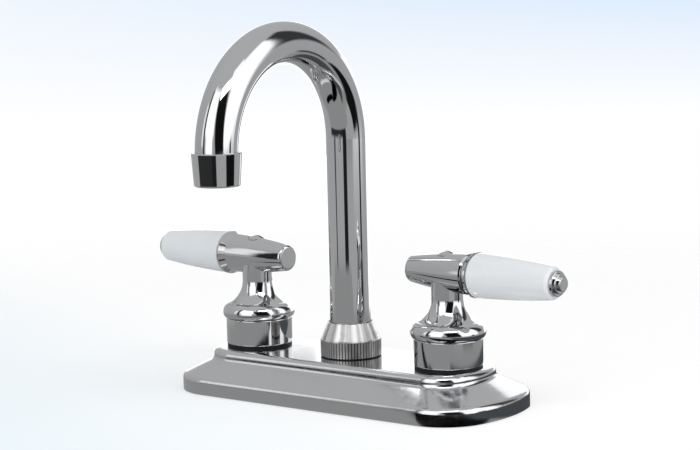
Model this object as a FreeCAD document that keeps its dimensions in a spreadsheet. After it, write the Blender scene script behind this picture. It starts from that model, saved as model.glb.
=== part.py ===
# Two-handle basin mixer tap on a deck plate, with a swivel arch spout.
# Millimetres, +Z up, +X along the plate, front towards -Y.
# The origin is on the deck, under the middle of the plate.
import FreeCAD, Part
import Sketcher
import math
import os

doc = FreeCAD.newDocument("basin_mixer_tap")
sheet = doc.addObject("Spreadsheet::Sheet", "Sizes")
vec = FreeCAD.Vector

SIZES = {
    # spacing of the two valves, which the standard basin drilling sets
    "valve_pitch": 101.6,
    # deck plate
    "plate_length": 161.6,
    "plate_width": 67.2,
    "plate_corner": 22.0,
    "plate_end_curve": 65.0,
    "skirt_height": 6.7,
    "slope_height": 6.5,
    "step_height": 4.6,
    "platform_reach": 17.0,
    "platform_width": 44.0,
    "platform_corner": 15.0,
    "plate_wall": 2.0,
    "platform_edge": 2.6,
    "skirt_edge": 2.6,
    "foot_round": 2.0,
    "gasket_thickness": 2.0,
    "gasket_width": 5.0,
    # clearances
    "seat_gap": 0.1,
    "run_gap": 0.08,
    "face_gap": 0.1,
    "free_gap": 0.4,
    # valve bodies and their shanks
    "shank_diameter": 22.0,
    "shank_length": 50.0,
    "tail_diameter": 20.9,
    "tail_length": 18.0,
    "inlet_bore": 12.7,
    "core_diameter": 27.0,
    "core_lift": 1.5,
    "chamber_diameter": 16.0,
    "chamber_floor": 3.5,
    "neck_height": 8.6,
    # cross tubes under the plate
    "port_height": 10.8,
    "port_bore": 6.4,
    "bridge_diameter": 8.2,
    "socket_depth": 3.5,
    # fixing under the deck
    "deck_thickness": 12.0,
    "lock_washer_diameter": 36.0,
    "lock_washer_thickness": 2.0,
    "locknut_flats": 30.0,
    "locknut_height": 8.0,
    # collars on the plate
    "collar_washer_inset": 0.2,
    "collar_washer_thickness": 1.1,
    "collar_diameter": 29.0,
    "collar_height": 11.5,
    "collar_thread": 6.0,
    "collar_hollow": 25.0,
    "collar_edge": 0.5,
    # ceramic cartridges
    "cartridge_flats": 20.0,
    "cartridge_flange": 3.0,
    "cartridge_boss_diameter": 12.0,
    "cartridge_boss": 2.0,
    "disc_bore": 13.0,
    "disc_thickness": 2.0,
    "disc_window": 3.2,
    "disc_window_offset": 3.4,
    "seat_washer_bore": 8.4,
    "thrust_space": 3.5,
    "thrust_ring": 2.0,
    "oring_section": 1.0,
    "oring_depth": 5.0,
    # spindles
    "stem_diameter": 8.0,
    "stem_grip": 18.0,
    "tang_width": 3.0,
    "tang_depth": 1.0,
    # handle hubs: heights are over the platform or from the lever's axis
    "lever_height": 39.9,
    "bead_diameter": 31.9,
    "bead_height": 15.2,
    "bead_round": 4.2,
    "shoulder_diameter": 25.2,
    "neck_diameter": 13.9,
    "neck_start": 28.7,
    "flare_round": 10.9,
    "hub_wall": 2.2,
    "hub_hollow_height": 3.2,
    "barrel_back": 18.6,
    "barrel_front": 12.0,
    "barrel_back_diameter": 11.6,
    "barrel_front_diameter": 17.0,
    "barrel_round": 1.2,
    "barrel_curve": 240.0,
    "lever_rest_turn": 4.0,
    # ferrule, lever and tie screw
    "ferrule_length": 4.0,
    "ferrule_throat": 15.8,
    "ferrule_throat_length": 0.7,
    "ferrule_diameter": 19.0,
    "ferrule_rim": 0.8,
    "cushion_thickness": 0.5,
    "lever_length": 38.4,
    "lever_diameter": 18.6,
    "lever_tip_diameter": 13.8,
    "lever_tip_round": 1.5,
    "lever_curve": 380.0,
    "tie_rod_diameter": 4.0,
    "tie_rod_grip": 7.5,
    "finial_washer_thickness": 0.4,
    "finial_diameter": 10.5,
    "finial_step_diameter": 8.4,
    "finial_face_diameter": 6.0,
    "finial_step": 1.2,
    # handle screw
    "screw_head_diameter": 7.5,
    "screw_head_edge": 1.0,
    "screw_head_dome": 1.4,
    "screw_seat": 6.4,
    "screw_diameter": 4.0,
    "screw_grip": 8.0,
    "screw_slot_width": 0.9,
    "screw_slot_depth": 1.0,
    # spout post and nut
    "tee_core_diameter": 25.0,
    "post_diameter": 20.8,
    "post_height": 7.2,
    "post_bore": 14.1,
    "post_floor": 4.5,
    "base_washer_thickness": 0.5,
    "base_washer_inset": 0.3,
    "nut_diameter": 26.2,
    "knurl_height": 6.9,
    "knurl_count": 62,
    "knurl_depth": 0.4,
    "cone_height": 7.4,
    "cone_top_diameter": 19.4,
    "glide_thickness": 1.0,
    "flange_thickness": 1.8,
    # spout
    "spout_diameter": 17.5,
    "spout_wall": 1.0,
    "spring_height": 93.9,
    "arch_radius": 42.3,
    "spout_drop": 6.0,
    "plug_height": 8.0,
    "spigot_length": 13.0,
    "spigot_bore": 9.0,
    "spout_oring_pitch": 5.0,
    # aerator
    "aerator_lap": 1.5,
    "aerator_height": 13.4,
    "aerator_diameter": 20.5,
    "aerator_tip_diameter": 18.9,
    "aerator_bore": 15.8,
    "aerator_mouth": 14.4,
    "aerator_lip": 1.0,
    "aerator_round": 0.8,
    "aerator_washer_thickness": 1.0,
    "insert_height": 2.0,
    "insert_hole": 1.6,
    "insert_hole_circle": 9.0,
    "insert_hole_count": 10,
    "screen_thickness": 0.5,
}


class Size:
    """A length with its value and the cell expression that gives it."""

    def __init__(self, text, value):
        self.text = text
        self.value = value

    def __add__(self, other):
        return combine(self, "+", other)

    def __sub__(self, other):
        return combine(self, "-", other)

    def __mul__(self, other):
        return combine(self, "*", other)

    def __truediv__(self, other):
        return combine(self, "/", other)

    def __neg__(self):
        return Size("(-" + self.text + ")", -self.value)


def as_size(number):
    if isinstance(number, Size):
        return number
    return Size(repr(number), number)


def combine(left, sign, right):
    left, right = as_size(left), as_size(right)
    if sign == "+":
        value = left.value + right.value
    elif sign == "-":
        value = left.value - right.value
    elif sign == "*":
        value = left.value * right.value
    else:
        value = left.value / right.value
    return Size(f"({left.text} {sign} {right.text})", value)


class Sheet:
    """The sheet's cells by name."""


cell = Sheet()
for row, (name, number) in enumerate(SIZES.items(), start=1):
    sheet.set(f"A{row}", name)
    sheet.set(f"B{row}", str(number))
    sheet.setAlias(f"B{row}", name)
    setattr(cell, name, Size("Sizes." + name, number))
doc.recompute()

# Levels, all counted up from the deck.
platform_under = cell.skirt_height + cell.slope_height + cell.step_height - cell.plate_wall
platform_top = platform_under + cell.plate_wall
body_top = platform_top + cell.neck_height
collar_bottom = platform_top + cell.collar_washer_thickness
collar_top = collar_bottom + cell.collar_height
lever_level = platform_top + cell.lever_height
post_top = platform_top + cell.post_height
nut_bottom = platform_top + cell.base_washer_thickness
nut_top = nut_bottom + cell.knurl_height + cell.cone_height
glide_top = post_top + cell.glide_thickness
flange_bottom = glide_top + cell.face_gap
flange_top = flange_bottom + cell.flange_thickness
spring_level = platform_top + cell.spring_height
spout_end_level = spring_level - cell.spout_drop
reach = cell.arch_radius * 2
aerator_top = spring_level + cell.aerator_lap
aerator_bottom = aerator_top - cell.aerator_height

# Levels of the cartridge's stack, counted up from the chamber floor.
disc_seat = cell.chamber_floor + cell.disc_thickness
disc_joint = disc_seat + cell.disc_thickness
disc_top = disc_joint + cell.disc_thickness
thrust_bottom = disc_top + cell.thrust_space
thrust_top = thrust_bottom + cell.thrust_ring
stem_top = lever_level - cell.screw_seat + cell.screw_diameter / 4
oring_level = body_top - cell.oring_depth

# Radii that several pieces share.
half_pitch = cell.valve_pitch / 2
shank_radius = cell.shank_diameter / 2
post_radius = cell.post_diameter / 2
spout_radius = cell.spout_diameter / 2
spout_inner = spout_radius - cell.spout_wall
stem_radius = cell.stem_diameter / 2
disc_chamber_radius = cell.disc_bore / 2
tie_rod_radius = cell.tie_rod_diameter / 2
ferrule_end = cell.barrel_front + cell.ferrule_length
lever_start = ferrule_end + cell.cushion_thickness
lever_end = lever_start + cell.lever_length

finished = []


# Small helpers for sketches and features.


def round_rise(radius, across):
    """How far a round of this radius stands up, this far across from its centre."""
    value = math.sqrt(radius.value ** 2 - across.value ** 2)
    return Size(f"sqrt({radius.text} * {radius.text} - {across.text} * {across.text})", value)


def bind(thing, prop, size):
    """Set a property from a size, by its cell expression."""
    thing.setExpression(prop, as_size(size).text)


def new_sketch(body, role, level=None):
    """A sketch on one of the body's own origin planes."""
    sketch = body.newObject("Sketcher::SketchObject", body.Name + "_sketch")
    plane = [f for f in body.Origin.OriginFeatures if f.Role == role][0]
    sketch.AttachmentSupport = [(plane, "")]
    sketch.MapMode = "FlatFace"
    if level is not None:
        bind(sketch, "AttachmentOffset.Base.z", level)
    return sketch


def fix_coordinate(sketch, kind, edge, end, size):
    """Hold one coordinate of a corner at a size, or on the axis when it is 0."""
    if not isinstance(size, Size):
        axis = -2 if kind == "DistanceX" else -1
        sketch.addConstraint(Sketcher.Constraint("PointOnObject", edge, end, axis))
        return
    index = sketch.addConstraint(Sketcher.Constraint(kind, -1, 1, edge, end, size.value))
    sketch.setExpression(f"Constraints[{index}]", size.text)


def fix_radius(sketch, edge, size):
    index = sketch.addConstraint(Sketcher.Constraint("Radius", edge, size.value))
    sketch.setExpression(f"Constraints[{index}]", size.text)


def short_arc(start, end, radius):
    """The minor arc between two points; a negative radius turns clockwise."""
    if radius < 0:
        return short_arc(end, start, -radius)
    chord = end - start
    rise = math.sqrt(radius ** 2 - (chord.Length / 2) ** 2)
    left = vec(-chord.y, chord.x, 0).normalize()
    centre = (start + end) / 2 + left * rise
    circle = Part.Circle(centre, vec(0, 0, 1), radius)
    return Part.ArcOfCircle(circle, circle.parameter(start), circle.parameter(end))


def closed_outline(sketch, corners):
    """Corners (x, y) in order; (x, y, radius) bends the edge that leaves the corner."""
    points = [vec(as_size(c[0]).value, as_size(c[1]).value, 0) for c in corners]
    ends = []
    for i, corner in enumerate(corners):
        start, end = points[i], points[(i + 1) % len(points)]
        if len(corner) == 3:
            radius = corner[2].value
            edge = sketch.addGeometry(short_arc(start, end, radius), False)
            ends.append((edge, 1, 2) if radius > 0 else (edge, 2, 1))
        else:
            edge = sketch.addGeometry(Part.LineSegment(start, end), False)
            ends.append((edge, 1, 2))
    for i, (edge, first, last) in enumerate(ends):
        following = ends[(i + 1) % len(ends)]
        joint = Sketcher.Constraint("Coincident", edge, last, following[0], following[1])
        sketch.addConstraint(joint)
        fix_coordinate(sketch, "DistanceX", edge, first, corners[i][0])
        fix_coordinate(sketch, "DistanceY", edge, first, corners[i][1])
        if len(corners[i]) == 3:
            radius = corners[i][2]
            fix_radius(sketch, edge, radius if radius.value > 0 else -radius)


def circle_in(sketch, x, y, radius):
    """A circle with its centre and radius held by sizes."""
    centre = vec(as_size(x).value, as_size(y).value, 0)
    edge = sketch.addGeometry(Part.Circle(centre, vec(0, 0, 1), radius.value), False)
    fix_coordinate(sketch, "DistanceX", edge, 3, x)
    fix_coordinate(sketch, "DistanceY", edge, 3, y)
    fix_radius(sketch, edge, radius)


def new_body(name):
    body = doc.addObject("PartDesign::Body", name)
    body.Label = name
    return body


def revolve(body, corners, axis):
    """Turn a profile in the XZ plane about the vertical or the long axis."""
    sketch = new_sketch(body, "XZ_Plane")
    closed_outline(sketch, corners)
    turn = body.newObject("PartDesign::Revolution", body.Name + "_turned")
    turn.Profile = (sketch, [""])
    turn.ReferenceAxis = (sketch, [axis])
    turn.Angle = 360
    doc.recompute()
    return turn


def turned(name, corners, axis="V_Axis"):
    """A body turned from one profile: V_Axis for upright pieces, H_Axis along X."""
    body = new_body(name)
    revolve(body, corners, axis)
    return body


def pad(body, sketch, length):
    feature = body.newObject("PartDesign::Pad", body.Name + "_pad")
    feature.Profile = (sketch, [""])
    bind(feature, "Length", length)
    doc.recompute()
    return feature


def pocket(body, sketch, length, away=False):
    """Cut a sketch's shape out: against the sketch's normal, or along it if away."""
    before = body.Shape.Volume
    feature = body.newObject("PartDesign::Pocket", body.Name + "_pocket")
    feature.Profile = (sketch, [""])
    feature.Reversed = away
    bind(feature, "Length", length)
    doc.recompute()
    if body.Shape.Volume > before - 1e-3:
        raise RuntimeError(body.Name + ": a pocket cuts nothing")
    return feature


def rounded(body, feature, radius, chosen):
    """Round the edges of the last feature that the test picks."""
    names = []
    for i, edge in enumerate(feature.Shape.Edges, start=1):
        if chosen(edge):
            names.append(f"Edge{i}")
    if not names:
        raise RuntimeError(body.Name + ": no edge to round")
    fillet = body.newObject("PartDesign::Fillet", body.Name + "_round")
    fillet.Base = (feature, names)
    bind(fillet, "Radius", radius)
    doc.recompute()
    return fillet


def at_level(size, radius=None):
    """A test for edges that lie at one height, and at one radius if it is given."""

    def test(edge):
        box = edge.BoundBox
        flat = abs(box.ZMin - size.value) < 1e-4 and abs(box.ZMax - size.value) < 1e-4
        if radius is None or not flat:
            return flat
        return abs(box.XMax - radius.value) < 1e-4

    return test


def place(item, x=0, y=0, z=0, turn=0):
    """Give a sub-part its place in the assembly, and keep it for the files."""
    item.Placement = FreeCAD.Placement(vec(0, 0, 0), FreeCAD.Rotation(vec(0, 0, 1), 1))
    bind(item, "Placement.Base.x", x)
    bind(item, "Placement.Base.y", y)
    bind(item, "Placement.Base.z", z)
    bind(item, "Placement.Rotation.Angle", turn)
    finished.append(item)
    return item


def cylinder(name, radius, height, x=0, y=0, z=0):
    """An upright cylinder whose foot is at the given point."""
    item = doc.addObject("Part::Cylinder", name)
    bind(item, "Radius", radius)
    bind(item, "Height", height)
    bind(item, "Placement.Base.x", x)
    bind(item, "Placement.Base.y", y)
    bind(item, "Placement.Base.z", z)
    return item


def torus(name, ring_radius, section_radius, z):
    item = doc.addObject("Part::Torus", name)
    bind(item, "Radius1", ring_radius)
    bind(item, "Radius2", section_radius)
    bind(item, "Placement.Base.z", z)
    return item


def joined(kind, name, base, tools):
    """A cut, or a fusion, of primitives under one name."""
    result = base
    for i, tool in enumerate(tools):
        last = i == len(tools) - 1
        step = doc.addObject(kind, name if last else f"{name}_step{i}")
        step.Base = result
        step.Tool = tool
        result = step
    result.Label = name
    return result


def ring(name, inner, outer, low, high):
    """A plain turned ring between two radii and two levels."""
    return turned(name, [(inner, low), (outer, low), (outer, high), (inner, high)])


SIDES = (("hot", -half_pitch, as_size(0.0)), ("cold", half_pitch, as_size(180.0)))


# Deck plate: a cast shell with a low skirt, a sloping shoulder and a raised platform.


# The angle where corner arcs meet end arcs, by its sine. The plate and the platform
# share it, so that the slope between them runs smooth round the corners.
corner_sine = (cell.plate_width / 2 - cell.plate_corner) / (cell.plate_end_curve - cell.plate_corner)


def oval(body, level, inset, half_length, half_width, corner, end_curve):
    """Two straight sides, four corner arcs and two end arcs, drawn in by an inset."""
    half_length, half_width = half_length - inset, half_width - inset
    corner, end_curve = corner - inset, end_curve - inset
    sketch = new_sketch(body, "XY_Plane", level)
    width, small, large = half_width.value, corner.value, end_curve.value
    tilt = math.asin(corner_sine.value)
    end_x = half_length.value - large
    corner_x = end_x + (large - small) * math.cos(tilt)
    corner_y = width - small
    half_turn = math.pi
    arcs = {
        1: (corner_x, -corner_y, small, -half_turn / 2, -tilt),
        2: (end_x, 0, large, -tilt, tilt),
        3: (corner_x, corner_y, small, tilt, half_turn / 2),
        5: (-corner_x, corner_y, small, half_turn / 2, half_turn - tilt),
        6: (-end_x, 0, large, half_turn - tilt, half_turn + tilt),
        7: (-corner_x, -corner_y, small, half_turn + tilt, half_turn * 1.5),
    }
    for edge in range(8):
        if edge in arcs:
            x, y, radius, first, last = arcs[edge]
            circle = Part.Circle(vec(x, y, 0), vec(0, 0, 1), radius)
            sketch.addGeometry(Part.ArcOfCircle(circle, first, last), False)
        else:
            side = -1 if edge == 0 else 1
            start = vec(side * corner_x, side * width, 0)
            sketch.addGeometry(Part.LineSegment(start, vec(-start.x, start.y, 0)), False)
    for edge in range(8):
        sketch.addConstraint(Sketcher.Constraint("Tangent", edge, 2, (edge + 1) % 8, 1))
    for edge, x in ((2, half_length - end_curve), (6, end_curve - half_length)):
        fix_coordinate(sketch, "DistanceX", edge, 3, x)
        fix_coordinate(sketch, "DistanceY", edge, 3, 0)
        fix_radius(sketch, edge, end_curve)
    for edge in (1, 3, 5, 7):
        fix_radius(sketch, edge, corner)
    for edge, y in ((0, -half_width), (4, half_width)):
        sketch.addConstraint(Sketcher.Constraint("Horizontal", edge))
        fix_coordinate(sketch, "DistanceY", edge, 1, y)
    return sketch


def plate_sketch(body, level, inset):
    """The plate's outline, drawn in by an inset."""
    half_length, half_width = cell.plate_length / 2, cell.plate_width / 2
    return oval(body, level, inset, half_length, half_width, cell.plate_corner, cell.plate_end_curve)


def platform_sketch(body, level, inset):
    """The platform's outline, which ends at its own reach beyond each valve."""
    half_length, half_width = half_pitch + cell.platform_reach, cell.platform_width / 2
    end_curve = cell.platform_corner + (half_width - cell.platform_corner) / corner_sine
    return oval(body, level, inset, half_length, half_width, cell.platform_corner, end_curve)


def loft(body, kind, lower, upper):
    """A ruled band between two outlines, added or cut away."""
    feature = body.newObject(kind, body.Name + "_slope")
    feature.Profile = (lower, [""])
    feature.Sections = [(upper, [""])]
    feature.Ruled = True
    doc.recompute()
    return feature


def deck_plate():
    body = new_body("deck_plate")
    none = as_size(0.0)
    wall = cell.plate_wall
    slope_foot = cell.skirt_height
    slope_top = cell.skirt_height + cell.slope_height
    pad(body, plate_sketch(body, none, none), slope_foot)
    skirt_outline = plate_sketch(body, slope_foot, none)
    step_outline = platform_sketch(body, slope_top, none)
    shoulder = loft(body, "PartDesign::AdditiveLoft", skirt_outline, step_outline)
    shoulder = rounded(body, shoulder, cell.skirt_edge, at_level(slope_foot))
    top = pad(body, platform_sketch(body, slope_top, none), cell.step_height)
    top = rounded(body, top, cell.foot_round, at_level(slope_top))
    rounded(body, top, cell.platform_edge, at_level(platform_top))
    inner_foot = slope_foot - wall / 2
    inner_top = slope_top - wall / 2
    pocket(body, plate_sketch(body, none, wall), inner_foot, away=True)
    inner_skirt = plate_sketch(body, inner_foot, wall)
    inner_step = platform_sketch(body, inner_top, wall)
    loft(body, "PartDesign::SubtractiveLoft", inner_skirt, inner_step)
    pocket(body, platform_sketch(body, inner_top, wall), platform_under - inner_top, away=True)
    holes = new_sketch(body, "XY_Plane", platform_top)
    for x, radius in ((-half_pitch, shank_radius), (0, post_radius), (half_pitch, shank_radius)):
        circle_in(holes, x, 0, radius + cell.seat_gap)
    pocket(body, holes, wall * 2)
    place(body)


def deck_gasket():
    body = new_body("deck_gasket")
    inset = cell.plate_wall + cell.seat_gap
    pad(body, plate_sketch(body, as_size(0.0), inset), cell.gasket_thickness)
    inner = plate_sketch(body, as_size(0.0), inset + cell.gasket_width)
    pocket(body, inner, cell.gasket_thickness, away=True)
    place(body)


# Waterway under the plate: two valve bodies, two cross tubes and the middle tee.


def side_port(body, outer_radius, away):
    """A port across a core, with the socket that a cross tube is brazed into."""
    bore = new_sketch(body, "YZ_Plane")
    circle_in(bore, 0, cell.port_height, cell.port_bore / 2)
    pocket(body, bore, outer_radius, away=away)
    depth = outer_radius - cell.socket_depth
    socket = new_sketch(body, "YZ_Plane", depth if away else -depth)
    circle_in(socket, 0, cell.port_height, cell.bridge_diameter / 2 + cell.seat_gap)
    pocket(body, socket, cell.socket_depth * 2, away=away)


def valve_body(side, x, turn):
    core = cell.core_diameter / 2
    tail = cell.tail_diameter / 2
    chamber = cell.chamber_diameter / 2
    inlet = cell.inlet_bore / 2
    tail_top = cell.tail_length - cell.shank_length
    body = turned("valve_body_" + side, [
        (inlet, -cell.shank_length),
        (tail, -cell.shank_length),
        (tail, tail_top),
        (shank_radius, tail_top),
        (shank_radius, cell.core_lift),
        (core, cell.core_lift),
        (core, platform_under),
        (shank_radius, platform_under),
        (shank_radius, body_top),
        (chamber, body_top),
        (chamber, cell.chamber_floor),
        (inlet, cell.chamber_floor),
    ])
    side_port(body, core, away=True)
    place(body, x=x, turn=turn)


def bridge_tube(side, x, turn):
    start = cell.core_diameter / 2 - cell.socket_depth
    end = half_pitch - cell.tee_core_diameter / 2 + cell.socket_depth
    outer = cell.bridge_diameter / 2
    inner = cell.port_bore / 2
    profile = [(start, inner), (end, inner), (end, outer), (start, outer)]
    body = turned("bridge_tube_" + side, profile, "H_Axis")
    place(body, x=x, z=cell.port_height, turn=turn)


def spout_tee():
    core = cell.tee_core_diameter / 2
    bore = cell.post_bore / 2
    body = turned("spout_tee", [
        (0, cell.core_lift),
        (core, cell.core_lift),
        (core, platform_under),
        (post_radius, platform_under),
        (post_radius, post_top),
        (bore, post_top),
        (bore, cell.post_floor),
        (0, cell.post_floor),
    ])
    side_port(body, core, away=True)
    side_port(body, core, away=False)
    place(body)


# Fixing under the deck, on each shank.


def deck_fixing(side, x):
    hole = shank_radius + cell.seat_gap
    washer_low = -(cell.deck_thickness + cell.lock_washer_thickness)
    washer = ring("lock_washer_" + side, hole, cell.lock_washer_diameter / 2,
                  washer_low, -cell.deck_thickness)
    place(washer, x=x)
    name = "locknut_" + side
    blank = doc.addObject("Part::Prism", name + "_hex")
    blank.Polygon = 6
    bind(blank, "Circumradius", cell.locknut_flats / math.sqrt(3))
    bind(blank, "Height", cell.locknut_height)
    thread = cylinder(name + "_thread", hole, cell.locknut_height)
    nut = joined("Part::Cut", name, blank, [thread])
    place(nut, x=x, z=washer_low - cell.locknut_height)


# Collars that clamp the plate down on the valve bodies, each on a black washer.


def collar(side, x):
    bore = shank_radius + cell.seat_gap
    outer = cell.collar_diameter / 2
    washer = ring("collar_washer_" + side, bore, outer - cell.collar_washer_inset,
                  platform_top, collar_bottom)
    place(washer, x=x)
    hollow = cell.collar_hollow / 2
    shoulder = collar_bottom + cell.collar_thread
    edge = cell.collar_edge
    body = turned("collar_" + side, [
        (bore, collar_bottom),
        (outer - edge, collar_bottom, edge),
        (outer, collar_bottom + edge),
        (outer, collar_top - edge, edge),
        (outer - edge, collar_top),
        (hollow, collar_top),
        (hollow, shoulder),
        (bore, shoulder),
    ])
    place(body, x=x)


# Ceramic cartridges: shell, seals and the disc that stays still.


def cartridge(side, x, turn):
    name = "cartridge_" + side
    barrel = cell.chamber_diameter / 2 - cell.seat_gap
    groove = barrel - cell.oring_section + cell.seat_gap
    groove_half = cell.oring_section / 2 + cell.face_gap
    boss = cell.cartridge_boss_diameter / 2
    bottom = cell.chamber_floor + cell.face_gap
    flange_level = body_top + cell.cartridge_flange
    boss_top = flange_level + cell.cartridge_boss
    stem_bore = stem_radius + cell.run_gap
    shell = turned(name + "_shell", [
        (disc_chamber_radius, bottom),
        (barrel, bottom),
        (barrel, oring_level - groove_half),
        (groove, oring_level - groove_half),
        (groove, oring_level + groove_half),
        (barrel, oring_level + groove_half),
        (barrel, body_top),
        (boss, body_top),
        (boss, boss_top),
        (stem_bore, boss_top),
        (stem_bore, thrust_top + cell.face_gap),
        (disc_chamber_radius, thrust_top + cell.face_gap),
    ])
    flats = doc.addObject("Part::Prism", name + "_hex")
    flats.Polygon = 6
    bind(flats, "Circumradius", cell.cartridge_flats / math.sqrt(3))
    bind(flats, "Height", cell.cartridge_flange)
    bind(flats, "Placement.Base.z", body_top)
    hexagon = joined("Part::Cut", name + "_flange", flats,
                     [cylinder(name + "_hole", stem_bore, cell.cartridge_flange, z=body_top)])
    whole = joined("Part::Fuse", name + "_whole", shell, [hexagon])
    window = doc.addObject("Part::Cylinder", name + "_window")
    window.Placement = FreeCAD.Placement(vec(0, 0, 0), FreeCAD.Rotation(vec(0, 1, 0), 90))
    bind(window, "Radius", cell.port_bore / 2)
    bind(window, "Height", barrel * 2)
    bind(window, "Placement.Base.x", -barrel)
    bind(window, "Placement.Base.z", cell.port_height)
    item = joined("Part::Cut", name, whole, [window])
    place(item, x=x, turn=turn)


def cartridge_seals(side, x):
    section = cell.oring_section / 2
    ring_radius = cell.chamber_diameter / 2 - section
    oring = torus("cartridge_oring_" + side, ring_radius, section, oring_level)
    oring.Label = oring.Name
    place(oring, x=x, z=oring_level)
    outer = disc_chamber_radius - cell.seat_gap
    washer = ring("seat_washer_" + side, cell.seat_washer_bore / 2, outer,
                  cell.chamber_floor, disc_seat)
    place(washer, x=x)


def ceramic_disc(name, radius, window_x, window_y):
    """A round ceramic disc with two windows across from each other."""
    disc = cylinder(name + "_blank", radius, cell.disc_thickness)
    windows = []
    for i, sign in enumerate((1, -1)):
        hole = cylinder(f"{name}_window{i}", cell.disc_window / 2, cell.disc_thickness,
                        x=window_x * sign, y=window_y * sign)
        windows.append(hole)
    return joined("Part::Cut", name, disc, windows)


def fixed_disc(side, x, turn):
    disc = ceramic_disc("fixed_disc_" + side, disc_chamber_radius - cell.seat_gap,
                        cell.disc_window_offset, as_size(0.0))
    place(disc, x=x, z=disc_seat, turn=turn)


# What turns with each handle inside the cartridge: moving disc, spindle and its seal.


def handle_turn(side):
    """The lever's direction at rest, counted from +X."""
    if side == "hot":
        return as_size(180.0) - cell.lever_rest_turn
    return -cell.lever_rest_turn


def moving_disc(side, x):
    name = "moving_disc_" + side
    radius = disc_chamber_radius - cell.run_gap
    disc = ceramic_disc(name + "_plain", radius, as_size(0.0), cell.disc_window_offset)
    slot = doc.addObject("Part::Box", name + "_slot")
    bind(slot, "Length", radius * 2)
    bind(slot, "Width", cell.tang_width)
    bind(slot, "Height", cell.tang_depth)
    bind(slot, "Placement.Base.x", -radius)
    bind(slot, "Placement.Base.y", -(cell.tang_width / 2))
    bind(slot, "Placement.Base.z", cell.disc_thickness - cell.tang_depth)
    item = joined("Part::Cut", name, disc, [slot])
    place(item, x=x, z=disc_joint, turn=handle_turn(side))


def spindle(side, x):
    thrust = disc_chamber_radius - cell.run_gap
    groove = stem_radius - cell.oring_section
    groove_half = cell.oring_section / 2 + cell.face_gap
    hole = cell.screw_diameter / 2 + cell.seat_gap
    hole_floor = stem_top - cell.screw_grip - cell.screw_diameter / 2
    body = turned("spindle_" + side, [
        (0, disc_top),
        (stem_radius, disc_top),
        (stem_radius, thrust_bottom),
        (thrust, thrust_bottom),
        (thrust, thrust_top),
        (stem_radius, thrust_top),
        (stem_radius, oring_level - groove_half),
        (groove, oring_level - groove_half),
        (groove, oring_level + groove_half),
        (stem_radius, oring_level + groove_half),
        (stem_radius, stem_top),
        (hole, stem_top),
        (hole, hole_floor),
        (0, hole_floor),
    ])
    tang = new_sketch(body, "XY_Plane", disc_top)
    half_length = stem_radius
    half_width = cell.tang_width / 2 - cell.seat_gap
    closed_outline(tang, [
        (-half_length, -half_width),
        (half_length, -half_width),
        (half_length, half_width),
        (-half_length, half_width),
    ])
    foot = body.newObject("PartDesign::Pad", body.Name + "_tang")
    foot.Profile = (tang, [""])
    foot.Reversed = True
    bind(foot, "Length", cell.tang_depth)
    doc.recompute()
    place(body, x=x, turn=handle_turn(side))
    section = cell.oring_section / 2
    seal = torus("spindle_oring_" + side, stem_radius - section, section, oring_level)
    seal.Label = seal.Name
    place(seal, x=x, z=oring_level)


# Handle hub: a flared base with a bead that covers the collar's top, and a tapered
# barrel across it that carries the lever. Its own origin is where the two axes cross.


def handle_hub(side, x):
    low = collar_top + cell.free_gap - lever_level
    bead = cell.bead_diameter / 2
    bead_level = platform_top + cell.bead_height - lever_level
    shoulder = cell.shoulder_diameter / 2
    shoulder_level = bead_level + round_rise(cell.bead_round, shoulder - bead + cell.bead_round)
    neck = cell.neck_diameter / 2
    neck_level = platform_top + cell.neck_start - lever_level
    hollow = shoulder - cell.hub_wall
    hollow_top = low + cell.hub_hollow_height
    rim = bead - cell.bead_round + round_rise(cell.bead_round, bead_level - low)
    body = turned("handle_hub_" + side, [
        (0, hollow_top),
        (hollow, hollow_top),
        (hollow, low),
        (rim, low, cell.bead_round),
        (bead, bead_level, cell.bead_round),
        (shoulder, shoulder_level, -cell.flare_round),
        (neck, neck_level),
        (neck, as_size(0.0)),
        (0, as_size(0.0)),
    ])
    back = cell.barrel_back
    round_off = cell.barrel_round
    revolve(body, [
        (-back, 0),
        (-back, cell.barrel_back_diameter / 2 - round_off, -round_off),
        (round_off - back, cell.barrel_back_diameter / 2, -cell.barrel_curve),
        (cell.barrel_front, cell.barrel_front_diameter / 2),
        (cell.barrel_front, 0),
    ], "H_Axis")
    seat = new_sketch(body, "XY_Plane", cell.screw_seat)
    circle_in(seat, 0, 0, cell.screw_head_diameter / 2 + cell.seat_gap)
    pocket(body, seat, cell.screw_seat, away=True)
    screw_way = new_sketch(body, "XY_Plane", hollow_top)
    circle_in(screw_way, 0, 0, cell.screw_diameter / 2 + cell.seat_gap)
    pocket(body, screw_way, lever_level, away=True)
    stem_way = new_sketch(body, "XY_Plane", hollow_top)
    circle_in(stem_way, 0, 0, stem_radius + cell.seat_gap)
    pocket(body, stem_way, stem_top + cell.face_gap - lever_level - hollow_top, away=True)
    rod_way = new_sketch(body, "YZ_Plane", cell.barrel_front)
    circle_in(rod_way, 0, 0, tie_rod_radius + cell.seat_gap)
    pocket(body, rod_way, cell.tie_rod_grip + cell.face_gap)
    place(body, x=x, z=lever_level, turn=handle_turn(side))


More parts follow.
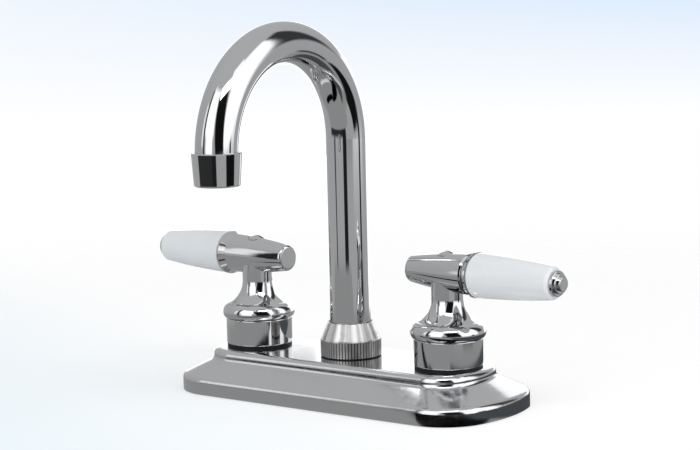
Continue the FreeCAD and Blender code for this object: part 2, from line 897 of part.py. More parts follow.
def lever_set(side, x):
    """Ferrule, cushion, porcelain lever and the tie screw that holds them on the barrel."""
    aim = handle_turn(side)
    hole = tie_rod_radius + cell.seat_gap
    throat = cell.ferrule_throat / 2
    rim = cell.ferrule_diameter / 2
    throat_end = cell.barrel_front + cell.ferrule_throat_length
    ferrule = turned("ferrule_" + side, [
        (cell.barrel_front, hole),
        (ferrule_end, hole),
        (ferrule_end, rim),
        (ferrule_end - cell.ferrule_rim, rim),
        (throat_end, throat),
        (cell.barrel_front, throat),
    ], "H_Axis")
    place(ferrule, x=x, z=lever_level, turn=aim)
    cushion_radius = cell.lever_diameter / 2 - cell.lever_tip_round / 2
    cushion = turned("lever_cushion_" + side, [
        (ferrule_end, hole),
        (lever_start, hole),
        (lever_start, cushion_radius),
        (ferrule_end, cushion_radius),
    ], "H_Axis")
    place(cushion, x=x, z=lever_level, turn=aim)
    base = cell.lever_diameter / 2
    tip = cell.lever_tip_diameter / 2
    tip_round = cell.lever_tip_round
    base_round = tip_round / 3
    lever = turned("lever_" + side, [
        (lever_start, hole),
        (lever_end, hole),
        (lever_end, tip - tip_round, tip_round),
        (lever_end - tip_round, tip, cell.lever_curve),
        (lever_start + base_round, base, base_round),
        (lever_start, base - base_round),
    ], "H_Axis")
    place(lever, x=x, z=lever_level, turn=aim)
    finial_start = lever_end + cell.finial_washer_thickness
    washer_radius = cell.finial_diameter / 2 - cell.finial_washer_thickness
    washer = turned("finial_washer_" + side, [
        (lever_end, hole),
        (finial_start, hole),
        (finial_start, washer_radius),
        (lever_end, washer_radius),
    ], "H_Axis")
    place(washer, x=x, z=lever_level, turn=aim)
    step = cell.finial_step
    edge = step / 4
    wide = cell.finial_diameter / 2
    middle = cell.finial_step_diameter / 2
    face = cell.finial_face_diameter / 2
    tie = turned("tie_screw_" + side, [
        (cell.barrel_front - cell.tie_rod_grip, 0),
        (finial_start + step * 3, 0),
        (finial_start + step * 3, face - edge, edge),
        (finial_start + step * 3 - edge, face),
        (finial_start + step * 2, face),
        (finial_start + step * 2, middle - edge, edge),
        (finial_start + step * 2 - edge, middle),
        (finial_start + step, middle),
        (finial_start + step, wide - edge, edge),
        (finial_start + step - edge, wide),
        (finial_start, wide),
        (finial_start, tie_rod_radius),
        (cell.barrel_front - cell.tie_rod_grip, tie_rod_radius),
    ], "H_Axis")
    place(tie, x=x, z=lever_level, turn=aim)


def handle_screw(side, x):
    """Domed screw down through the barrel into the spindle, with a driver slot."""
    head = cell.screw_head_diameter / 2
    seat = cell.screw_seat
    edge_top = seat + cell.screw_head_edge
    dome_top = edge_top + cell.screw_head_dome
    dome = cell.screw_head_dome
    dome_radius = (head * head + dome * dome) / (dome * 2)
    body = turned("handle_screw_" + side, [
        (0, stem_top - lever_level - cell.screw_grip),
        (cell.screw_diameter / 2, stem_top - lever_level - cell.screw_grip),
        (cell.screw_diameter / 2, seat),
        (head, seat),
        (head, edge_top, dome_radius),
        (0, dome_top),
    ])
    slot = new_sketch(body, "XY_Plane", dome_top)
    half_width = cell.screw_slot_width / 2
    closed_outline(slot, [
        (-head, -half_width),
        (head, -half_width),
        (head, half_width),
        (-head, half_width),
    ])
    pocket(body, slot, cell.screw_slot_depth)
    place(body, x=x, z=lever_level, turn=handle_turn(side))


# Spout nut: a knurled skirt with a cone over it, screwed down on the post.


def spout_nut():
    bore = post_radius + cell.seat_gap
    outer = cell.nut_diameter / 2
    cone_foot = nut_bottom + cell.knurl_height
    shoulder = flange_top + cell.face_gap
    tip = cell.cone_top_diameter / 2
    lip = cell.collar_edge
    way = spout_radius + cell.free_gap
    body = turned("spout_nut", [
        (bore, nut_bottom),
        (outer, nut_bottom),
        (outer, cone_foot),
        (outer - lip, cone_foot + lip),
        (tip, nut_top),
        (way, nut_top),
        (way, shoulder),
        (bore, shoulder),
    ])
    groove = new_sketch(body, "XY_Plane", nut_bottom)
    half_width = outer * (math.pi * 0.42) / cell.knurl_count
    closed_outline(groove, [
        (outer - cell.knurl_depth, 0),
        (outer + cell.knurl_depth / 2, -half_width),
        (outer + cell.knurl_depth / 2, half_width),
    ])
    cut = pocket(body, groove, cell.knurl_height, away=True)
    pattern = body.newObject("PartDesign::PolarPattern", "spout_nut_knurl")
    pattern.Originals = [cut]
    pattern.Axis = (groove, ["N_Axis"])
    pattern.Angle = 360
    bind(pattern, "Occurrences", cell.knurl_count)
    body.Tip = pattern
    doc.recompute()
    place(body)


def spout_washers():
    washer = ring("spout_base_washer", post_radius + cell.seat_gap,
                  cell.nut_diameter / 2 - cell.base_washer_inset, platform_top, nut_bottom)
    place(washer)
    glide = ring("glide_ring", cell.post_bore / 2, post_radius - cell.seat_gap,
                 post_top, glide_top)
    place(glide)


# Spout: a bent tube on a brass swivel end that turns in the post.


def spout_tube():
    body = new_body("spout_tube")
    path = new_sketch(body, "YZ_Plane")
    leg = Part.LineSegment(vec(0, flange_top.value, 0), vec(0, spring_level.value, 0))
    bend = cell.arch_radius.value
    circle = Part.Circle(vec(-bend, spring_level.value, 0), vec(0, 0, 1), bend)
    drop = Part.LineSegment(vec(-bend * 2, spring_level.value, 0),
                            vec(-bend * 2, spout_end_level.value, 0))
    path.addGeometry(leg, False)
    path.addGeometry(Part.ArcOfCircle(circle, 0, math.pi), False)
    path.addGeometry(drop, False)
    path.addConstraint(Sketcher.Constraint("Coincident", 0, 2, 1, 1))
    path.addConstraint(Sketcher.Constraint("Coincident", 1, 2, 2, 1))
    path.addConstraint(Sketcher.Constraint("Vertical", 0))
    path.addConstraint(Sketcher.Constraint("Vertical", 2))
    fix_coordinate(path, "DistanceX", 0, 1, 0)
    fix_coordinate(path, "DistanceY", 0, 1, flange_top)
    fix_coordinate(path, "DistanceX", 1, 3, -cell.arch_radius)
    fix_coordinate(path, "DistanceY", 1, 3, spring_level)
    fix_coordinate(path, "DistanceY", 1, 1, spring_level)
    fix_coordinate(path, "DistanceY", 1, 2, spring_level)
    fix_coordinate(path, "DistanceY", 2, 2, spout_end_level)
    section = new_sketch(body, "XY_Plane", flange_top)
    circle_in(section, 0, 0, spout_radius)
    circle_in(section, 0, 0, spout_inner)
    pipe = body.newObject("PartDesign::AdditivePipe", "spout_tube_pipe")
    pipe.Profile = (section, [""])
    pipe.Spine = (path, [])
    doc.recompute()
    place(body)


def oring_levels():
    """The two seals sit in the upper and lower part of the swivel's spigot."""
    lower = flange_bottom - cell.spigot_length / 2 - cell.spout_oring_pitch / 2
    return (lower, lower + cell.spout_oring_pitch)


def spout_end():
    bore = cell.spigot_bore / 2
    spigot = cell.post_bore / 2 - cell.run_gap
    groove = spigot - cell.oring_section
    half = cell.oring_section / 2 + cell.face_gap
    foot = flange_bottom - cell.spigot_length
    lower, upper = oring_levels()
    plug = spout_inner - cell.seat_gap
    plug_top = flange_top + cell.plug_height
    flange = post_radius - cell.seat_gap
    body = turned("spout_end", [
        (bore, foot),
        (spigot, foot),
        (spigot, lower - half),
        (groove, lower - half),
        (groove, lower + half),
        (spigot, lower + half),
        (spigot, upper - half),
        (groove, upper - half),
        (groove, upper + half),
        (spigot, upper + half),
        (spigot, flange_bottom),
        (flange, flange_bottom),
        (flange, flange_top),
        (plug, flange_top),
        (plug, plug_top),
        (bore, plug_top),
    ])
    place(body)


def spout_orings():
    section = cell.oring_section / 2
    ring_radius = cell.post_bore / 2 - cell.run_gap - section
    rings = [torus(f"spout_oring_{i}", ring_radius, section, level)
             for i, level in enumerate(oring_levels())]
    pair = doc.addObject("Part::Compound", "spout_orings")
    pair.Links = rings
    pair.Label = "spout_orings"
    place(pair)


# Aerator: a screwed shell on the spout's end, with washer, screen and insert.


def aerator():
    lip = cell.aerator_round / 2
    top = cell.aerator_diameter / 2
    tip = cell.aerator_tip_diameter / 2
    bore = cell.aerator_bore / 2
    mouth = cell.aerator_mouth / 2
    tube_way = spout_radius + cell.seat_gap
    shelf = spout_end_level - cell.aerator_washer_thickness
    curl = cell.aerator_round
    lip_top = aerator_bottom + cell.aerator_lip
    shell = turned("aerator_shell", [
        (mouth, aerator_bottom),
        (tip - curl, aerator_bottom, curl),
        (tip, aerator_bottom + curl),
        (top, aerator_top - lip),
        (top - lip, aerator_top),
        (tube_way, aerator_top),
        (tube_way, shelf),
        (bore, shelf),
        (bore, lip_top),
        (mouth, lip_top),
    ])
    place(shell, y=-reach)
    washer = ring("aerator_washer", mouth, spout_radius, shelf, spout_end_level)
    place(washer, y=-reach)
    inside = bore - cell.seat_gap
    insert = new_body("aerator_insert")
    disc = new_sketch(insert, "XY_Plane", lip_top)
    circle_in(disc, 0, 0, inside)
    pad(insert, disc, cell.insert_height)
    hole = new_sketch(insert, "XY_Plane", lip_top)
    circle_in(hole, cell.insert_hole_circle / 2, 0, cell.insert_hole / 2)
    cut = pocket(insert, hole, cell.insert_height, away=True)
    pattern = insert.newObject("PartDesign::PolarPattern", "aerator_insert_holes")
    pattern.Originals = [cut]
    pattern.Axis = (hole, ["N_Axis"])
    pattern.Angle = 360
    bind(pattern, "Occurrences", cell.insert_hole_count)
    insert.Tip = pattern
    doc.recompute()
    place(insert, y=-reach)
    screen_low = lip_top + cell.insert_height
    screen = cylinder("aerator_screen", inside, cell.screen_thickness, z=screen_low)
    screen.Label = "aerator_screen"
    place(screen, y=-reach, z=screen_low)


deck_plate()
deck_gasket()
spout_tee()
for side, x, turn in SIDES:
    valve_body(side, x, turn)
    bridge_tube(side, x, turn)
    deck_fixing(side, x)
    collar(side, x)
    cartridge(side, x, turn)
    cartridge_seals(side, x)
    fixed_disc(side, x, turn)
    moving_disc(side, x)
    spindle(side, x)
    handle_hub(side, x)
    lever_set(side, x)
    handle_screw(side, x)
spout_nut()
spout_washers()
spout_tube()
spout_end()
spout_orings()
aerator()
doc.recompute()

# Every feature must have come out sound before anything is written.
for item in doc.Objects:
    if "Invalid" in item.State or "Error" in item.State:
        raise RuntimeError(f"{item.Name} failed: {item.State}")
for item in finished:
    if item.Shape.isNull() or not item.Shape.isValid():
        raise RuntimeError(f"{item.Label} has no sound shape")

os.makedirs("parts", exist_ok=True)
for item in finished:
    item.Shape.exportStep(f"parts/{item.Label}.step")
    print(item.Label, len(item.Shape.Solids), round(item.Shape.Volume, 2))
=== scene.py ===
import math

import bpy
from mathutils import Matrix, Vector


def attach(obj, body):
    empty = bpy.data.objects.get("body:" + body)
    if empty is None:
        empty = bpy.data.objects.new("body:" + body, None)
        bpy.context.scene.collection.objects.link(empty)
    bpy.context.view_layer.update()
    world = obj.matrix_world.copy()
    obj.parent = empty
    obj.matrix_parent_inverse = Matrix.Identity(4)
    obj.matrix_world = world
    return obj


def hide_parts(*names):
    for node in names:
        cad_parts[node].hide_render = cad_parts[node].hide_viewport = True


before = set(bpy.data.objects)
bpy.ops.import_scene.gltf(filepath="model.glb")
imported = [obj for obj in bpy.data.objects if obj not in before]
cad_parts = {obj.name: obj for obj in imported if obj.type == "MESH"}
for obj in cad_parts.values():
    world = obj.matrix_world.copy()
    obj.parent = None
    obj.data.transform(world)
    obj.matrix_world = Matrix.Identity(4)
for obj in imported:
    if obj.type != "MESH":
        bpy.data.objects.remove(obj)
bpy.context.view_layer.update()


# View. The camera stands at the front right, a little above the plate, with a long lens
# nine tenths of a metre off, and is turned about its own axis by a little over a degree.
aim = Vector((0.00094, 0.0, 0.0742))
distance = 0.90257
turn, lift, roll = (math.radians(degrees) for degrees in (37.09, 7.58, 1.31))
back = Vector((math.sin(turn) * math.cos(lift), -math.cos(turn) * math.cos(lift), math.sin(lift)))
right = (-back).cross(Vector((0, 0, 1))).normalized()
up = right.cross(-back)
across = right * math.cos(roll) - up * math.sin(roll)
above = right * math.sin(roll) + up * math.cos(roll)
camera = bpy.data.objects.new("camera", bpy.data.cameras.new("camera"))
camera.data.lens = 108.69
camera.data.sensor_width = 36.0
camera.data.clip_end = 50.0
camera.matrix_world = (Matrix.Translation(aim + back * distance)
                       @ Matrix((across, above, back)).transposed().to_4x4())
bpy.context.scene.collection.objects.link(camera)
bpy.context.scene.camera = camera


# Deck plate. A zinc pressure die casting, buffed on a soft wheel and then plated with copper,
# nickel and chrome. The two collars clamp it down on the valve bodies under it.
def linear(code):
    """An sRGB hex colour as linear light."""
    parts = [int(code[i:i + 2], 16) / 255 for i in (1, 3, 5)]
    return [c / 12.92 if c <= 0.04045 else ((c + 0.055) / 1.055) ** 2.4 for c in parts] + [1.0]


def add(tree, kind, settings):
    """Add a node: each setting is a property, a value of an input, or what feeds that input."""
    node = tree.nodes.new("ShaderNode" + kind)
    for key, value in settings.items():
        if isinstance(key, str) and key not in node.inputs:
            setattr(node, key, value)
        elif isinstance(value, bpy.types.NodeSocket):
            tree.links.new(value, node.inputs[key])
        else:
            node.inputs[key].default_value = value
    return node


def blank(name):
    """A new material, its empty node tree, and the object's own coordinates in metres."""
    made = bpy.data.materials.new(name)
    made.use_nodes = True
    made.node_tree.nodes.clear()
    place = add(made.node_tree, "TexCoord", {}).outputs["Object"]
    return made, made.node_tree, place


def per_metre(size_mm):
    """The scale of a pattern whose cells are this large."""
    return 1000 / size_mm


def surface(tree, shader):
    """Send a shader to the material's output."""
    add(tree, "OutputMaterial", {"Surface": shader.outputs[0]})


def dress(made, *names):
    """Put a finish on parts of the fixed frame."""
    for name in names:
        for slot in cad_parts[name].material_slots:
            slot.material = made


def chrome(name, wave_mm, wave_height_mm, haze):
    """Chrome plate. It gives a clear mirror, which bends a little where the buffed metal
    under it waves, and swirls from the wheel that only change how sharp the mirror is: from
    0.7 to 1.4 times the haze. The real swirls are finer than 0.1 mm. They are drawn 2.4 mm
    apart, so that they show."""
    made, tree, place = blank(name)
    wave = add(tree, "TexNoise", {"Vector": place, "Scale": per_metre(wave_mm), "Detail": 1.0,
                                  "Roughness": 0.4})
    bump = add(tree, "Bump", {"Distance": wave_height_mm / 1000, "Height": wave.outputs["Fac"]})
    swirl = add(tree, "TexNoise", {"Vector": place, "Scale": per_metre(2.4), "Detail": 4.0,
                                   "Roughness": 0.6, "Distortion": 0.8})
    rough = add(tree, "MapRange", {"Value": swirl.outputs["Fac"], "From Min": 0.3,
                                   "From Max": 0.7, "To Min": haze * 0.7, "To Max": haze * 1.4})
    metal = add(tree, "BsdfPrincipled", {"Base Color": linear("#c5c6c7"), "Metallic": 1.0,
                                         "Roughness": rough.outputs["Result"],
                                         "Normal": bump.outputs["Normal"]})
    return made, tree, place, metal


buffed, tree, place, metal = chrome("chrome_on_buffed_zinc_casting", 16, 0.010, 0.13)
# The underside, wherever the metal faces down, is left as it was cast: dull, with a skin of
# fine 1.5 mm orange peel, 0.06 mm high.
facing = add(tree, "SeparateXYZ", {0: add(tree, "NewGeometry", {}).outputs["True Normal"]})
under = add(tree, "Math", {"operation": "LESS_THAN", 0: facing.outputs["Z"], 1: -0.1})
peel = add(tree, "TexNoise", {"Vector": place, "Scale": per_metre(1.5), "Detail": 3.0})
skin = add(tree, "Bump", {"Distance": 0.00006, "Height": peel.outputs["Fac"]})
cast = add(tree, "BsdfPrincipled", {"Base Color": linear("#9c9da0"), "Metallic": 1.0,
                                    "Roughness": 0.48, "Normal": skin.outputs["Normal"]})
surface(tree, add(tree, "MixShader", {0: under.outputs[0], 1: metal.outputs[0],
                                      2: cast.outputs[0]}))
dress(buffed, "deck_plate")


# Gasket, washers and seals. Black nitrile rubber: the gasket is die-cut from sheet, and the
# rings and washers are moulded. Metal clamps them all, and they seal by being squeezed.
nitrile, tree, place = blank("moulded_nitrile_rubber")
# Matte and nearly black, with a grain of about 0.6 mm and a greyer bloom in patches of 6 mm.
grain = add(tree, "TexNoise", {"Vector": place, "Scale": per_metre(0.6), "Detail": 3.0})
bloom = add(tree, "TexNoise", {"Vector": place, "Scale": per_metre(6), "Detail": 2.0})
tone = add(tree, "Mix", {"data_type": "RGBA", 0: bloom.outputs["Fac"], 6: linear("#0c0c0d"),
                         7: linear("#1c1c1d")})
skin = add(tree, "Bump", {"Distance": 0.00003, "Height": grain.outputs["Fac"]})
surface(tree, add(tree, "BsdfPrincipled", {"Base Color": tone.outputs[2], "Roughness": 0.55,
                                           "IOR": 1.52, "Specular IOR Level": 0.2,
                                           "Normal": skin.outputs["Normal"]}))
SIDES = {"hot": -0.0508, "cold": 0.0508}       # where the valves' axes stand, 4 inches apart
dress(nitrile, "deck_gasket", "spout_base_washer", "spout_orings", "aerator_washer")
for side in SIDES:
    for seal in ("collar_washer", "cartridge_oring", "seat_washer", "spindle_oring"):
        dress(nitrile, f"{seal}_{side}")


# Valve bodies. Turned from brass bar: a wide core under the plate with a 22 mm threaded
# shank through the deck, and below it a 1/2 inch tail that takes the supply hose.
brass, tree, place = blank("turned_brass")
# Warm and fairly bright, with rings from the lathe tool round the axis. The real feed is
# 0.1 mm, drawn as 0.5 mm bands, and the metal is darker in 12 mm patches from handling.
turned = add(tree, "Mapping", {"Vector": place, "Scale": (0.15, 0.15, 1.0)})
feed = add(tree, "TexNoise", {"Vector": turned.outputs[0], "Scale": per_metre(0.5), "Detail": 1.0})
handled = add(tree, "TexNoise", {"Vector": place, "Scale": per_metre(12), "Detail": 3.0})
tone = add(tree, "Mix", {"data_type": "RGBA", 0: handled.outputs["Fac"], 6: linear("#d3b377"),
                         7: linear("#b38e52")})
rings = add(tree, "Bump", {"Distance": 0.00001, "Height": feed.outputs["Fac"]})
rough = add(tree, "MapRange", {"Value": feed.outputs["Fac"], "To Min": 0.2, "To Max": 0.38})
surface(tree, add(tree, "BsdfPrincipled", {"Base Color": tone.outputs[2], "Metallic": 1.0,
                                           "Roughness": rough.outputs["Result"],
                                           "Normal": rings.outputs["Normal"]}))
dress(brass, "spout_tee", "spout_end")
for side in SIDES:
    dress(brass, f"cartridge_{side}", f"spindle_{side}")

AROUND = 96                                    # points round each row of a turned piece
PIPE_PITCH, THREAD_DEPTH = 25.4 / 14, 1.0      # both threads have 14 turns to the inch
BORE, TAIL, SHANK, CORE, CHAMBER = 6.35, 10.45, 11.0, 13.5, 8.0      # radii, in mm
LOW_END, TAIL_TOP, CORE_LOW, CORE_TOP = -50.0, -32.0, 1.5, 15.8      # levels over the deck
CHAMBER_FLOOR, NECK_TOP = 3.5, 26.4


def placed(name, points, faces):
    """A new object of these points and faces, put into the scene."""
    mesh = bpy.data.meshes.new(name)
    mesh.from_pydata(points, [], faces)
    piece = bpy.data.objects.new(name, mesh)
    bpy.context.scene.collection.objects.link(piece)
    return piece


def spun(name, rows, x):
    """A turned piece whose rows give, in mm, its radius at an angle and its level."""
    points, faces = [], []
    for reach, level in rows:
        for i in range(AROUND):
            angle = 2 * math.pi * i / AROUND
            radius = reach(angle) if callable(reach) else reach
            points.append((x + radius * math.cos(angle) / 1000, radius * math.sin(angle) / 1000,
                           level / 1000))
    for row in range(len(rows)):
        low, high = row * AROUND, (row + 1) % len(rows) * AROUND
        for i in range(AROUND):
            j = (i + 1) % AROUND
            faces.append((low + i, low + j, high + j, high + i))
    piece = placed(name, points, faces)
    piece.data.shade_smooth()
    piece.data.set_sharp_from_angle(angle=math.radians(35))
    return piece


def thread(crest, low, high):
    """Rows of a right-hand thread, eight to a turn, cut inwards from its crest radius. The
    first turn starts at 0.4 of the depth, and the last one runs out to a tenth of it."""
    count = round((high - low) / PIPE_PITCH * 8)
    rows = []
    for k in range(count + 1):
        level = low + (high - low) * k / count
        fade = min(1.0, (level - low) / PIPE_PITCH + 0.4, (high - level) / PIPE_PITCH + 0.1)

        def reach(angle, level=level, cut=THREAD_DEPTH * fade):
            return crest - cut * abs(2 * ((level / PIPE_PITCH - angle / 2 / math.pi) % 1) - 1)

        rows.append((reach, level))
    return rows


for side, x in SIDES.items():
    # From the tail's bore up its outside, with a short bevel at each step, and down the chamber.
    body = spun(f"valve_shank_{side}", [
        (BORE, LOW_END), (9.2, LOW_END), *thread(TAIL, -49.6, -32.6), (9.9, -32.2),
        (9.9, TAIL_TOP), (10.2, TAIL_TOP), *thread(SHANK, -31.4, -0.5), (SHANK, CORE_LOW),
        (13.1, CORE_LOW), (CORE, 1.9), (CORE, 15.4), (13.1, CORE_TOP), (10.2, CORE_TOP),
        *thread(SHANK, 16.2, 25.9), (10.4, NECK_TOP), (CHAMBER, NECK_TOP),
        (CHAMBER, CHAMBER_FLOOR), (BORE, CHAMBER_FLOOR)], x)
    body.data.materials.append(brass)
    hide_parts(f"valve_body_{side}")
    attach(body, "tap_body")


# Cross tubes. Two short lengths of drawn copper tube, brazed into the valve bodies and the
# middle tee, which carry the hot and the cold water to the spout.
copper, tree, place = blank("drawn_copper")
# Salmon red with long lines from the drawing die, 0.3 mm apart, and brown from the torch
# where the tube nears a brazed end.
along = add(tree, "Mapping", {"Vector": place, "Scale": (0.04, 1.0, 1.0)})
lines = add(tree, "TexNoise", {"Vector": along.outputs[0], "Scale": per_metre(0.3), "Detail": 2.0})
spot = add(tree, "SeparateXYZ", {0: place})
out_x = add(tree, "Math", {"operation": "ABSOLUTE", 0: spot.outputs["X"]})
# Each tube's middle is 25 mm from the tee's axis, and the brown starts 5 mm from there.
off_middle = add(tree, "Math", {"operation": "SUBTRACT", 0: out_x.outputs[0], 1: 0.025})
toward_end = add(tree, "Math", {"operation": "ABSOLUTE", 0: off_middle.outputs[0]})
heat = add(tree, "MapRange", {"Value": toward_end.outputs[0], "From Min": 0.005,
                              "From Max": 0.0125})
tone = add(tree, "Mix", {"data_type": "RGBA", 0: heat.outputs[0], 6: linear("#d0906c"),
                         7: linear("#8c5540")})
drawn = add(tree, "Bump", {"Distance": 0.00001, "Height": lines.outputs["Fac"]})
surface(tree, add(tree, "BsdfPrincipled", {"Base Color": tone.outputs[2], "Metallic": 1.0,
                                           "Roughness": 0.32, "Normal": drawn.outputs["Normal"]}))
dress(copper, "bridge_tube_hot", "bridge_tube_cold")


# Lock washers. Stamped from steel sheet and zinc plated, they spread the locknut's pull on
# the underside of the deck.
zinc, tree, place = blank("zinc_plated_steel")
# Cool grey and half dull, with faint yellow and blue from the passivation in 8 mm clouds.
cloud = add(tree, "TexNoise", {"Vector": place, "Scale": per_metre(8), "Detail": 4.0})
tone = add(tree, "Mix", {"data_type": "RGBA", 0: cloud.outputs["Fac"], 6: linear("#b3b5bb"),
                         7: linear("#c1beb0")})
grain = add(tree, "TexNoise", {"Vector": place, "Scale": per_metre(0.4), "Detail": 2.0})
rough = add(tree, "MapRange", {"Value": grain.outputs["Fac"], "To Min": 0.28, "To Max": 0.46})
surface(tree, add(tree, "BsdfPrincipled", {"Base Color": tone.outputs[2], "Metallic": 1.0,
                                           "Roughness": rough.outputs["Result"]}))
dress(zinc, "lock_washer_hot", "lock_washer_cold")


# Locknuts. Sawn from 30 mm hexagon brass bar, drilled, threaded, and turned off at both
# faces, so that each corner of the hexagon ends in a small curved bevel.
FLATS, NUT_LOW, NUT_HIGH = 30.0, -22.0, -14.0
NUT_BORE, NUT_MOUTH, NUT_BEVEL = 11.1, 11.9, 0.8       # the shank's thread hides the nut's own
BEVEL_ROWS = (0.0, 0.3, 0.6, 0.9, 1.2, 1.5)    # how far each row lies from the face


def bevelled(depth):
    """The hexagon's radius, held down to the bevel's cone this far in from a face. The cone
    starts 0.2 mm inside the flats and widens by 1.9 mm for each mm."""
    def reach(angle):
        corner = FLATS / 2 / math.cos(angle % (math.pi / 3) - math.pi / 6)
        return min(corner, FLATS / 2 - 0.2 + depth * 1.9)
    return reach


for side, x in SIDES.items():
    nut = spun(f"shank_nut_{side}", [
        (NUT_MOUTH, NUT_LOW), *((bevelled(d), NUT_LOW + d) for d in BEVEL_ROWS),
        *((bevelled(d), NUT_HIGH - d) for d in reversed(BEVEL_ROWS)), (NUT_MOUTH, NUT_HIGH),
        (NUT_BORE, NUT_HIGH - NUT_BEVEL), (NUT_BORE, NUT_LOW + NUT_BEVEL)], x)
    nut.data.materials.append(brass)
    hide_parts(f"locknut_{side}")
    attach(nut, "tap_body")


# Collars. Plain rings, turned from brass and chrome plated. Each screws down on its shank
# over a black washer, and so holds the plate on the valve body.
plated_brass, tree, _, metal = chrome("chrome_on_turned_brass", 12, 0.006, 0.07)
# The mirror is sharp, and waves a little where the tool chattered.
surface(tree, metal)
dress(plated_brass, "collar_hot", "collar_cold")


# Ceramic discs. Two lapped alumina discs in each cartridge, flat enough to seal on each
# other; the upper one turns with the spindle and opens its windows over the lower one's.
alumina, tree, place = blank("lapped_alumina")
# Ivory white with an even satin and a speckle of 0.5 mm, coarser than the real grain.
speck = add(tree, "TexNoise", {"Vector": place, "Scale": per_metre(0.5), "Detail": 2.0})
tone = add(tree, "Mix", {"data_type": "RGBA", 0: speck.outputs["Fac"], 6: linear("#e9e6de"),
                         7: linear("#dcd8cc")})
surface(tree, add(tree, "BsdfPrincipled", {"Base Color": tone.outputs[2], "Roughness": 0.25,
                                           "IOR": 1.77}))
for side in SIDES:
    dress(alumina, f"fixed_disc_{side}", f"moving_disc_{side}")


# Handles. Each hub, with its flared foot and cross barrel, is a brass casting buffed all
# over; the ferrule, the tie screw and the slotted top screw are turned. All are chromed.
cast_chrome, tree, _, metal = chrome("chrome_on_buffed_brass_casting", 10, 0.006, 0.05)
# Buffed longest of all, so the mirror is clear, with the 10 mm waves of the wheel's edge.
surface(tree, metal)
for side in SIDES:
    for part in ("handle_hub", "ferrule", "tie_screw", "handle_screw"):
        dress(cast_chrome, f"{part}_{side}")


# Levers. White porcelain, cast in a mould, glazed and fired. The tie screw pulls each one
# against the ferrule on a thin nylon cushion.
porcelain, tree, place = blank("glazed_porcelain")
# A clear gloss over a white body. The glaze lies in soft waves about 9 mm long, pools a
# little greyer in the dips, and holds a few pinholes, drawn 0.3 mm wide.
flow = add(tree, "TexNoise", {"Vector": place, "Scale": per_metre(9), "Detail": 1.5})
tone = add(tree, "Mix", {"data_type": "RGBA", 0: flow.outputs["Fac"], 6: linear("#d9dcde"),
                         7: linear("#dfe1e3")})
pin = add(tree, "TexVoronoi", {"Vector": place, "Scale": per_metre(4.5)})
hole = add(tree, "MapRange", {"Value": pin.outputs["Distance"], "From Min": 0.02,
                              "From Max": 0.05})
lie = add(tree, "Bump", {"Distance": 0.000006, "Height": flow.outputs["Fac"]})
glaze = add(tree, "Bump", {"Distance": 0.00002, "Height": hole.outputs["Result"],
                           "Normal": lie.outputs["Normal"]})
surface(tree, add(tree, "BsdfPrincipled", {"Base Color": tone.outputs[2], "Roughness": 0.07,
                                           "IOR": 1.5, "Normal": glaze.outputs["Normal"]}))
nylon, tree, place = blank("moulded_nylon")
# Milky and half glossy, with a moulded grain of 0.8 mm.
grain = add(tree, "TexNoise", {"Vector": place, "Scale": per_metre(0.8), "Detail": 2.0})
rough = add(tree, "MapRange", {"Value": grain.outputs["Fac"], "To Min": 0.28, "To Max": 0.42})
surface(tree, add(tree, "BsdfPrincipled", {"Base Color": linear("#c9cbcc"), "IOR": 1.53,
                                           "Roughness": rough.outputs["Result"]}))
for side in SIDES:
    dress(porcelain, f"lever_{side}")
    dress(nylon, f"lever_cushion_{side}", f"finial_washer_{side}")


# Spout nut. Turned brass with a knurled skirt to grip, barrel plated, so its chrome is less
# clear than the polished parts'. It holds the spout's flange down on the post.
KNURL_TOP = 0.0251                             # over the deck, in metres
GROOVE, CREST = 0.01275, 0.0131                # the knurl's inner and outer radius
satin, tree, place, metal = chrome("satin_chrome_on_knurled_brass", 8, 0.006, 0.38)
# The cone is almost white, with grey streaks 3 mm wide painted round its mean radius of
# 11.5 mm as a painted reflection. The knurl is duller, and its grooves are darkened as
# painted shade.
spot = add(tree, "SeparateXYZ", {0: place})
low = add(tree, "MapRange", {"Value": spot.outputs["Z"], "From Min": KNURL_TOP - 0.0003,
                             "From Max": KNURL_TOP + 0.0003, "To Min": 1.0, "To Max": 0.0})
from_axis = add(tree, "VectorMath", {"operation": "MULTIPLY", 0: place, 1: (1, 1, 0)})
out = add(tree, "VectorMath", {"operation": "LENGTH", 0: from_axis.outputs[0]})
crest = add(tree, "MapRange", {"Value": out.outputs["Value"], "From Min": GROOVE,
                               "From Max": CREST})
# Painted shade: the knurl's colour darkens from its crests down into its grooves.
knurl_painted_shade = add(tree, "Mix", {"data_type": "RGBA", 0: crest.outputs[0], 6: linear("#2e2e2f"),
                          7: linear("#a9a9a9")})
# Painted reflection: grey and near-white streaks drawn round the cone's axis in its colour.
round_axis = add(tree, "VectorMath", {"operation": "NORMALIZE", 0: from_axis.outputs[0]})
painted_reflection_noise = add(tree, "TexNoise", {"Vector": round_axis.outputs[0], "Scale": 11.5 / 3, "Detail": 2.0})
painted_reflection_mask = add(tree, "MapRange", {"Value": painted_reflection_noise.outputs["Fac"], "From Min": 0.4,
                                  "From Max": 0.6})
cone_painted_reflection = add(tree, "Mix", {"data_type": "RGBA", 0: painted_reflection_mask.outputs[0], 6: linear("#a4a4a3"),
                         7: linear("#f0f0ef")})
tone = add(tree, "Mix", {"data_type": "RGBA", 0: low.outputs[0], 6: cone_painted_reflection.outputs[2],
                         7: knurl_painted_shade.outputs[2]})
tree.links.new(tone.outputs[2], metal.inputs["Base Color"])
surface(tree, metal)
dress(satin, "spout_nut")


# Spout. Brass tube of 17.5 mm, drawn, bent on a former and polished before plating. Its
# swivel end turns in the post on a white acetal ring.
tube_chrome, tree, _, metal = chrome("chrome_on_drawn_brass_tube", 30, 0.006, 0.045)
# The sharpest mirror of all, because the tube was drawn smooth before it was polished.
surface(tree, metal)
dress(tube_chrome, "spout_tube", "aerator_shell")


# Aerator. The chromed shell screws on the spout's end and holds a rubber washer, a woven
# screen and a moulded acetal insert, whose holes break the water up into a soft jet.
acetal, tree, place = blank("moulded_acetal")
